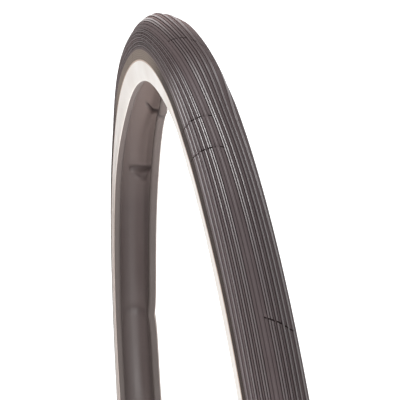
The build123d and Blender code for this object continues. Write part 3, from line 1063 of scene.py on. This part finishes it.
# %% The shoulder strips
SHOULDER_BULGE = 0.05
SHOULDER_POINTS = 60
SHOULDER_RIB = 1.45
SHOULDER_GROOVE = 0.3
SHOULDER_GROOVE_WIDTH = 0.16
SHOULDER_MARK = 0.65
RIBBED_TO = LIP - 0.7
SUNK = TREAD_BASE + 0.15
STRETCHED, STRETCHED_SMOOTH = (112, 150, 10), 0.8
# over the top the shoulders are matt and take a little of the tread's painted shade colour
SHOULDER_DULL_AND_SHADE, SHOULDER_DULL_AND_SHADE_SPAN, SHOULDER_BLOOM_SPAN = 0.3, (103, 165, 9), (108, 150, 9)


def shoulder_outline(side):
    """Out along the ribs and back underneath: distance, height, share of a groove, and rib mark."""
    share = np.linspace(0, 1, SHOULDER_POINTS)
    across = TREAD_EDGE + share * (LIP - TREAD_EDGE)
    over = SHOULDER_TOP + (SURFACE - SHOULDER_TOP) * share
    over += SHOULDER_BULGE * 4 * share * (1 - share)
    step = (across - TREAD_EDGE) / SHOULDER_RIB
    groove = bump(step - np.round(step), 0, SHOULDER_GROOVE_WIDTH)
    groove = groove * (np.round(step) >= 1) * (across < RIBBED_TO)
    none = 0 * share
    outer = np.stack([side * across, over, groove, none + SHOULDER_MARK], axis=-1)
    inner = np.stack([side * across[::-1], none + TREAD_BASE, none, none], axis=-1)
    return np.concatenate([outer, inner])[::side]


def shoulder(side):
    """The black strip on one side, from the tread's edge down to its lip."""
    outline = shoulder_outline(side)
    distance = outline[:, :1]
    theta = bent_columns(distance)
    # where the tread is drawn over the top the shoulder is stretched almost smooth
    groove = outline[:, 2:3] * (1 - STRETCHED_SMOOTH * between(theta, *STRETCHED))
    height = outline[:, 1:2] - SHOULDER_GROOVE * groove
    rib = outline[:, 3:] * (1 - groove)
    for inside, column in cut_places(outline[:, 0]):
        height[inside, column] = np.minimum(height[inside, column], SUNK)
        rib[inside, column] = 0
    piece = rolled_ring("shoulder", distance, height, theta)
    mark(piece, "rib", rib)
    mark(piece, "dull_and_shaded", SHOULDER_DULL_AND_SHADE * between(theta, *SHOULDER_DULL_AND_SHADE_SPAN))
    mark(piece, "bloom_and_sheen", between(theta, *SHOULDER_BLOOM_SPAN))
    return piece


for name, side in SIDES:
    add("shoulder_strip_" + name, shoulder(side))
print(len(pieces), "pieces made")

# %% [markdown]
# ## Helpers for the finishes
# A finish is a small tree of nodes. These helpers add one node each, so that a finish reads as a recipe.
# Everything is worked out from the object's own coordinates, so no image and no unwrapping is needed,
# and each pattern stays at its real size.

# %% Node helpers
# the Mix node has a pair of inputs for each kind of value, and these are the colours'
MIX_FIRST, MIX_SECOND, MIX_RESULT = 6, 7, 2


def finish_for(name, **sockets):
    """A new material whose shader has the given values on its own sockets."""
    finish = bpy.data.materials.new(name)
    finish.use_nodes = True
    shader = finish.node_tree.nodes["Principled BSDF"]
    for socket, value in sockets.items():
        shader.inputs[socket.replace("_", " ")].default_value = value
    return finish


def node(finish, kind, inputs=None, **settings):
    """One node. An input is a value, or another node's output to link from."""
    made = finish.node_tree.nodes.new("ShaderNode" + kind)
    for name, value in settings.items():
        setattr(made, name, value)
    for name, value in (inputs or {}).items():
        if isinstance(value, bpy.types.NodeSocket):
            finish.node_tree.links.new(value, made.inputs[name])
        else:
            made.inputs[name].default_value = value
    return made


def shade(finish, socket, value):
    """Links a value to the shader."""
    shader = finish.node_tree.nodes["Principled BSDF"]
    finish.node_tree.links.new(value, shader.inputs[socket])


def colour(red, green, blue):
    """A colour given as it looks on a screen, 0 to 255, turned to the linear values shaders use."""
    parts = [part / 255 for part in (red, green, blue)]
    return (*[p / 12.92 if p <= 0.04045 else ((p + 0.055) / 1.055) ** 2.4 for p in parts], 1.0)


print("a grey of 128 on a screen is", round(colour(128, 128, 128)[0], 3), "to a shader")


# %% Places, patterns and relief
def place(finish):
    """The place on the object, in metres."""
    return node(finish, "TexCoord").outputs["Object"]


def along_ring(finish, across, along):
    """Coordinates that change quickly across the tyre and slowly along it, for moulding lines."""
    scale = node(finish, "Mapping", {"Vector": place(finish), "Scale": (along, across, along)})
    return scale.outputs["Vector"]


def marked(finish, name):
    """The value that each point of the mesh was marked with."""
    return node(finish, "Attribute", attribute_name=name, attribute_type="GEOMETRY").outputs["Fac"]


def noise(finish, where, scale, detail):
    """An uneven value, mostly between 0.3 and 0.7."""
    sockets = {"Vector": where, "Scale": scale, "Detail": detail, "Roughness": 0.6}
    return node(finish, "TexNoise", sockets).outputs["Fac"]


def sums(finish, operation, first, second):
    """One step of arithmetic, by Blender's name for it."""
    made = node(finish, "Math", {0: first, 1: second}, operation=operation)
    return made.outputs["Value"]


def spread(finish, value, low, high, new_low=0.0, new_high=1.0):
    """The value, stretched from one range to another and held inside it."""
    ends = {"From Min": low, "From Max": high, "To Min": new_low, "To Max": new_high}
    return node(finish, "MapRange", {"Value": value, **ends}).outputs["Result"]


def blend_colours(finish, share, first, second):
    """The first colour where the share is 0, and the second where it is 1."""
    inputs = {"Factor": share, MIX_FIRST: first, MIX_SECOND: second}
    return node(finish, "Mix", inputs, data_type="RGBA").outputs[MIX_RESULT]


def relief(finish, height, distance, under=None):
    """Bump of a given depth, in metres, on top of any bump below it."""
    sockets = {"Height": height, "Distance": distance, "Strength": 1.0}
    if under:
        sockets["Normal"] = under
    return node(finish, "Bump", sockets).outputs["Normal"]


print("places are in metres, so a noise of scale 1000 is about", 1 / (1000 * MM), "mm coarse")

# %% [markdown]
# ## Black rubber
# New black rubber is never pure black: a brown-grey film of wax blooms on it, thicker where it is
# stretched, and the tops of the ribs are worn a little bluer and smoother. Shade is also painted into the
# grooves, over the top of the ring and on the right before it, the crests are painted lighter as a
# highlight besides their wear, and a paler film past the top on the right is a painted sheen.
# A plain dark colour with gloss would look like plastic, so the film, the grooves and the crests
# are mixed by the marks that the mesh carries, and only the crests have a clear coat.

# %% Black rubber for the tread and the shoulders
CLOUDY = (0.3, 0.7)
FILM_CLOUDS = 28.0
MOULD_LINES, LINES_SEEN, LINE_DEPTH = (2600.0, 12.0), (0.25, 0.7), 0.00006
RUBBER_GRAIN, GRAIN_DEPTH = 900.0, 0.00004
# painted shade: groove floors and the lower flanks of the ribs are painted dark
GROOVE_SHADE_COLOUR = colour(46, 37, 37)
DULL_SHADE_COLOUR = colour(82, 70, 70)
# the crests' lighter colour is partly wear and partly a painted highlight
RUB_AND_HIGHLIGHT_COLOUR = colour(108, 99, 100)
# low ribs are marked 0.65, and the crests of the tall ones 1
FILM_FROM, FILM_TO = 0.25, 0.65
CREST_FROM, CREST_TO = 0.7, 0.9
FILM_ROUGH, CREST_ROUGH = 0.75, 0.4
# how much lighter the crests are painted, for wear and as a highlight, and how strong their clear coat is:
# where bright, and where matt
RUB_AND_HIGHLIGHT, COAT = (1.0, 0.2), (0.8, 0.08)


def black_rubber(name, dark, pale, bloom_and_sheen_tint):
    """Black rubber in a film of dark to pale brown-grey, painted paler where it is drawn over the top, for
    the wax film and a painted sheen.
    """
    finish = finish_for(name, Specular_IOR_Level=0.12, Coat_Roughness=0.3, Coat_IOR=1.5)
    where = place(finish)
    lines = noise(finish, along_ring(finish, *MOULD_LINES), 1.0, 3.0)
    cloud = noise(finish, where, FILM_CLOUDS, 5.0)
    grain = noise(finish, where, RUBBER_GRAIN, 3.0)
    rib, dull_and_shaded, bloom_and_sheen = marked(finish, "rib"), marked(finish, "dull_and_shaded"), marked(finish, "bloom_and_sheen")
    film = blend_colours(finish, spread(finish, cloud, *CLOUDY), dark, pale)
    # painted shade over the top of the ring and on the right before it
    film = blend_colours(finish, dull_and_shaded, film, DULL_SHADE_COLOUR)
    # painted sheen, with the wax film, where the tread is paler
    film = blend_colours(finish, bloom_and_sheen, film, bloom_and_sheen_tint)
    # painted shade in the grooves
    base = blend_colours(finish, spread(finish, rib, FILM_FROM, FILM_TO), GROOVE_SHADE_COLOUR, film)
    crest = spread(finish, rib, CREST_FROM, CREST_TO)
    # painted highlight on the crests, partly wear, fading where the rubber is matt
    worn_and_highlight = sums(finish, "MULTIPLY", crest, spread(finish, dull_and_shaded, 0, 1, *RUB_AND_HIGHLIGHT))
    rub_and_highlight = sums(finish, "MULTIPLY", worn_and_highlight, spread(finish, lines, *LINES_SEEN))
    shade(finish, "Base Color", blend_colours(finish, rub_and_highlight, base, RUB_AND_HIGHLIGHT_COLOUR))
    bright = sums(finish, "SUBTRACT", crest, dull_and_shaded)
    shade(finish, "Roughness", spread(finish, bright, 0, 1, FILM_ROUGH, CREST_ROUGH))
    coated = sums(finish, "MULTIPLY", crest, spread(finish, dull_and_shaded, 0, 1, *COAT))
    shade(finish, "Coat Weight", coated)
    fine = relief(finish, grain, GRAIN_DEPTH)
    shade(finish, "Normal", relief(finish, lines, LINE_DEPTH, under=fine))
    return finish


# dark film, pale film, and the paler film: wax, and on the tread a painted sheen
TREAD_TINTS = (colour(93, 82, 83), colour(102, 91, 92), colour(138, 118, 116))
SHOULDER_TINTS = (colour(65, 56, 53), colour(73, 64, 60), colour(122, 109, 99))
TREAD_RUBBER = black_rubber("tread_rubber", *TREAD_TINTS)
SHOULDER_RUBBER = black_rubber("shoulder_rubber", *SHOULDER_TINTS)
print("black rubber has", len(TREAD_RUBBER.node_tree.nodes), "nodes")

# %% [markdown]
# ## The plainer rubbers
# The lining, the white, the tan gum and the filler are one recipe: a cloudy mix of two tints,
# a roughness that follows the clouds, and a fine grain. They differ in their values and in what is painted
# on top: the lining is painted paler towards the top as painted light, and darker along its folds as
# painted shade, and the white is painted darker towards the bottom as painted shade.

# %% A recipe for plain rubber, and the light and shade painted on it
# painted shade along the folds and dents
FOLD_SHADE_COLOUR = colour(58, 48, 47)
# painted light: the lining and the chafer are painted paler towards the top of the ring
LINING_LIT_TINT = colour(160, 143, 137)
# painted shade: the white is painted darker towards the bottom
WHITE_LOW_SHADE = colour(158, 144, 137)
RAGGED_SCALE, RAGGED = 9.0, 0.08
# from one height to another above the axis, in metres, and how much there is at each
LINING_PAINTED_LIGHT = (0.05, 0.2, 0.0, 0.8)
# painted light on the chafer, as on the lining
CHAFER_PAINTED_LIGHT = (0.05, 0.2, 0.0, 0.6)
# painted shade low on the white
WHITE_SHADE_HEIGHTS = (0.08, 0.18, 0.9, 0.0)


def upward(finish, low, high, at_low, at_high):
    """A value that changes with height above the axis, for the painted light above and the painted shade
    below.
    """
    height = node(finish, "SeparateXYZ", {"Vector": place(finish)}).outputs["Z"]
    ragged = sums(finish, "MULTIPLY", noise(finish, place(finish), RAGGED_SCALE, 4.0), RAGGED)
    low, high = low + RAGGED / 2, high + RAGGED / 2
    return spread(finish, sums(finish, "ADD", height, ragged), low, high, at_low, at_high)


def fold_shaded(finish, tint):
    """The tint, darkened along the folds and in the dent as painted shade."""
    return blend_colours(finish, marked(finish, "painted_fold_shade"), tint, FOLD_SHADE_COLOUR)


def lit_and_fold_shaded(finish, tint):
    """The tint painted paler towards the top of the ring as painted light, and darker along its folds as
    painted shade.
    """
    lit_above = blend_colours(finish, upward(finish, *LINING_PAINTED_LIGHT), tint, LINING_LIT_TINT)
    return fold_shaded(finish, lit_above)


def shaded_towards_bottom(finish, tint):
    """The tint, painted darker towards the bottom as painted shade."""
    return blend_colours(finish, upward(finish, *WHITE_SHADE_HEIGHTS), tint, WHITE_LOW_SHADE)


def plain_rubber(name, clouds, tints, rough, grains, depth, over=None, cloudy=CLOUDY):
    """Rubber that is cloudy between two tints and two roughnesses, with a fine grain."""
    finish = finish_for(name, Roughness=sum(rough) / 2)
    where = place(finish)
    cloud = noise(finish, where, clouds, 5.0)
    tint = blend_colours(finish, spread(finish, cloud, *cloudy), *tints)
    shade(finish, "Base Color", over(finish, tint) if over else tint)
    shade(finish, "Roughness", spread(finish, cloud, *CLOUDY, *rough))
    shade(finish, "Normal", relief(finish, noise(finish, where, grains, 3.0), depth))
    return finish


# painted light: the lining is painted paler between these heights
print("painted_light grows on the lining between", LINING_PAINTED_LIGHT[0], "and", LINING_PAINTED_LIGHT[1], "m above the axis")

# %% Lining, white, gum and filler
LINING_TINTS = (colour(95, 84, 82), colour(103, 92, 90))
WHITE_TINTS = (colour(226, 221, 216), colour(215, 206, 199))
GUM_TINTS = (colour(162, 134, 116), colour(182, 156, 139))
FILLER_TINTS = (colour(38, 35, 34), colour(54, 49, 47))
LINING_RUBBER = plain_rubber(
    "lining_rubber",
    clouds=16.0,
    tints=LINING_TINTS,
    rough=(0.42, 0.58),
    grains=600.0,
    depth=0.00005,
    over=lit_and_fold_shaded,
)
WHITE_RUBBER = plain_rubber(
    "white_rubber",
    clouds=20.0,
    cloudy=(0.35, 0.75),
    tints=WHITE_TINTS,
    rough=(0.42, 0.6),
    grains=500.0,
    depth=0.00004,
    over=shaded_towards_bottom,
)
TAN_GUM = plain_rubber(
    "tan_gum", clouds=60.0, tints=GUM_TINTS, rough=(0.42, 0.6), grains=700.0, depth=0.00003
)
FILLER_RUBBER = plain_rubber(
    "filler_rubber", clouds=40.0, tints=FILLER_TINTS, rough=(0.45, 0.65), grains=800.0, depth=0.00004
)
print("plain rubbers:", [finish.name for finish in (LINING_RUBBER, WHITE_RUBBER, TAN_GUM, FILLER_RUBBER)])

# %% [markdown]
# ## Cloth and steel
# The casing is made of straight cords, not woven: each ply's cords run on a slant.
# The chafer is a plain weave. Both are waves of the angle round the axis and the place across,
# which close on themselves exactly, where a tiled image of cloth would show a seam.

# %% Cord cloth, woven chafer and steel
CORDS_AROUND = 2200
CORD_SLANT = 6500.0
CORD_DEPTH, WEAVE_DEPTH = 0.0002, 0.0001
CORD_TINTS, BETWEEN_CORDS = (colour(168, 146, 112), colour(190, 170, 138)), colour(88, 72, 58)
# painted shade: the chafer is tinted darker than the lining, so that the bead's face, which catches the
# lamps, looks no lighter
CHAFER_SHADED_TINTS, BETWEEN_THREADS = (colour(76, 67, 64), colour(83, 74, 71)), colour(73, 64, 61)
# painted light: the chafer is painted paler towards the top, as the lining is
CHAFER_LIT_TINT = colour(108, 95, 91)
STEEL_TINTS = (colour(150, 140, 118), colour(182, 172, 150))
DRAWING_LINES, DRAWING_DEPTH = (3000.0, 10.0), 0.00003


def cords(finish, slant):
    """Ridges of round cords, 0 to 1, slanted across the ring."""
    apart = node(finish, "SeparateXYZ", {"Vector": place(finish)}).outputs
    angle = sums(finish, "ARCTAN2", apart["Z"], apart["X"])
    around = sums(finish, "MULTIPLY", angle, CORDS_AROUND)
    phase = sums(finish, "ADD", around, sums(finish, "MULTIPLY", apart["Y"], slant))
    return spread(finish, sums(finish, "SINE", phase, 0.0), -1, 1)


def cord_cloth():
    """Straight brown cords in rubber, seen only where the tyre is taken apart."""
    finish = finish_for("casing_cords", Roughness=0.8, Sheen_Weight=0.2)
    ridges = cords(finish, CORD_SLANT)
    cloud = noise(finish, place(finish), 50.0, 5.0)
    thread = blend_colours(finish, cloud, *CORD_TINTS)
    shade(finish, "Base Color", blend_colours(finish, ridges, BETWEEN_CORDS, thread))
    shade(finish, "Roughness", spread(finish, ridges, 0, 1, 0.9, 0.7))
    shade(finish, "Normal", relief(finish, ridges, CORD_DEPTH))
    return finish


def woven_chafer():
    """A plain weave painted dark as shade for the bead's lit face, paler towards the top as painted light,
    and darker along its folds as painted shade.
    """
    finish = finish_for("woven_chafer", Roughness=0.75)
    weave = sums(finish, "MAXIMUM", cords(finish, CORD_SLANT), cords(finish, -CORD_SLANT))
    cloud = noise(finish, place(finish), 40.0, 5.0)
    thread = blend_colours(finish, cloud, *CHAFER_SHADED_TINTS)
    woven = blend_colours(finish, weave, BETWEEN_THREADS, thread)
    lit_above = blend_colours(finish, upward(finish, *CHAFER_PAINTED_LIGHT), woven, CHAFER_LIT_TINT)
    shade(finish, "Base Color", fold_shaded(finish, lit_above))
    shade(finish, "Roughness", spread(finish, cloud, *CLOUDY, 0.6, 0.8))
    shade(finish, "Normal", relief(finish, weave, WEAVE_DEPTH))
    return finish


def drawn_steel():
    """Brassed steel wire, with fine lines along it from the drawing die."""
    finish = finish_for("drawn_steel", Metallic=1.0, Roughness=0.3)
    lines = noise(finish, along_ring(finish, *DRAWING_LINES), 1.0, 3.0)
    tint = blend_colours(finish, spread(finish, lines, *CLOUDY), *STEEL_TINTS)
    shade(finish, "Base Color", tint)
    shade(finish, "Roughness", spread(finish, lines, *CLOUDY, 0.25, 0.45))
    shade(finish, "Normal", relief(finish, lines, DRAWING_DEPTH))
    return finish


print("the cords are", round(2 * math.pi * SEAT_R / CORDS_AROUND, 2), "mm apart at the bead")

# %% [markdown]
# ## Which piece wears which finish
# A piece and its mirror image share one finish, so that a change to a recipe shows on both.

# %% Give every piece its finish
def both(name):
    """The names of a piece on the left and on the right."""
    return [f"{name}_{side}" for side, _ in SIDES]


WEARERS = [
    (TREAD_RUBBER, ["tread_cap"]),
    (SHOULDER_RUBBER, both("shoulder_strip")),
    (LINING_RUBBER, ["inner_lining", *both("bead_wrap")]),
    (WHITE_RUBBER, both("white_sidewall")),
    (TAN_GUM, ["cushion_gum"]),
    (FILLER_RUBBER, both("bead_filler")),
    (cord_cloth(), ["casing_ply", "breaker_strip", *both("ply_turn_up")]),
    (woven_chafer(), both("chafer_strip")),
    (drawn_steel(), [*both("bead_wire"), *both("bead_ferrule")]),
]
for finish, names in WEARERS:
    for name in names:
        pieces[name].data.materials.append(finish)
print(sum(len(names) for _, names in WEARERS), "pieces finished, of", len(pieces))

# %% [markdown]
# ## Floor and backdrop
# The floor is pale and wide. A brighter lamp would whiten it too, but would wash out the rubber,
# so the floor and the world glow only for what the camera sees, directly or in a gloss.
# The glow grows further out, so that no edge of the lamps' light shows.

# %% Floor and background
FLOOR_SIZE = 60.0
GLOW_NEAR, GLOW_FAR = 0.55, 0.83
NEAR, FAR = 0.9, 1.9
WORLD_LIGHT = 0.2
WHITE = (1, 1, 1, 1)


def seen_directly(finish):
    """1 where the camera looks, straight on or through a gloss or glass, and 0 for light on the object."""
    rays = node(finish, "LightPath").outputs
    seen = sums(finish, "MAXIMUM", rays["Is Camera Ray"], rays["Is Glossy Ray"])
    return sums(finish, "MAXIMUM", seen, rays["Is Transmission Ray"])


def floor_finish():
    """A pale floor that a camera sees near white, with the object's shadow kept."""
    finish = finish_for(
        "studio_floor",
        Base_Color=colour(236, 236, 236),
        Roughness=0.9,
        Specular_IOR_Level=0.0,
        Emission_Color=WHITE,
    )
    reach = node(finish, "VectorMath", {"Vector": place(finish)}, operation="LENGTH").outputs["Value"]
    glow = spread(finish, reach, NEAR, FAR, GLOW_NEAR, GLOW_FAR)
    shade(finish, "Emission Strength", sums(finish, "MULTIPLY", seen_directly(finish), glow))
    return finish


def studio_world(strength):
    """White where the camera and reflections look, and a dimmer even light elsewhere."""
    world = bpy.data.worlds.new("studio")
    world.use_nodes = True
    bpy.context.scene.world = world
    back = world.node_tree.nodes["Background"]
    back.inputs["Color"].default_value = WHITE
    level = spread(world, seen_directly(world), 0, 1, strength, 1.0)
    world.node_tree.links.new(level, back.inputs["Strength"])


bpy.ops.mesh.primitive_plane_add(size=FLOOR_SIZE, location=(0, 0, -CROWN_R * MM))
floor = bpy.context.object
floor.name = "floor"
floor.data.materials.append(floor_finish())
studio_world(WORLD_LIGHT)
print("floor at", round(floor.location.z, 4))

# %% [markdown]
# ## Light
# Two wide, low lamps in front draw one soft streak along each rib, a weak one lights the left side,
# and a long strip behind and above gives the crown its edge. Small lamps would leave hard shadows
# between the ribs, and a single large one would flatten them.

# %% Lamps
# name, power in watts, width and height in metres, place, and the point that it faces
LAMPS = [
    ("front", 53.0, (1.7, 0.6), (2.1, -0.6, -0.02), (0, 0, 0.1)),
    ("right_fill", 16.0, (1.0, 0.6), (2.1, 0.8, 0.0), (-0.3, 0, 0.1)),
    ("left", 8.5, (1.2, 1.2), (1.3, -1.6, 0.15), (0, 0, 0.15)),
    ("back_strip", 68.0, (0.45, 1.6), (-1.73, -0.4, 2.0), (0, 0, 0.33)),
]


def lamp(name, power, size, where, target):
    """A soft rectangular lamp that faces a point."""
    light = bpy.data.lights.new(name, "AREA")
    light.energy = power
    light.shape = "RECTANGLE"
    light.size, light.size_y = size
    lamp_object = bpy.data.objects.new(name, light)
    bpy.context.scene.collection.objects.link(lamp_object)
    lamp_object.location = where
    aim = Vector(target) - Vector(where)
    lamp_object.rotation_euler = aim.to_track_quat("-Z", "Y").to_euler()


for values in LAMPS:
    lamp(*values)
print(len(LAMPS), "lamps")

# %% [markdown]
# ## Finish
# The Standard view keeps each colour as it was written. The looks may stand only a little proud
# of it.

# %% Finish
bpy.context.scene.view_settings.view_transform = "Standard"
bpy.context.view_layer.update()
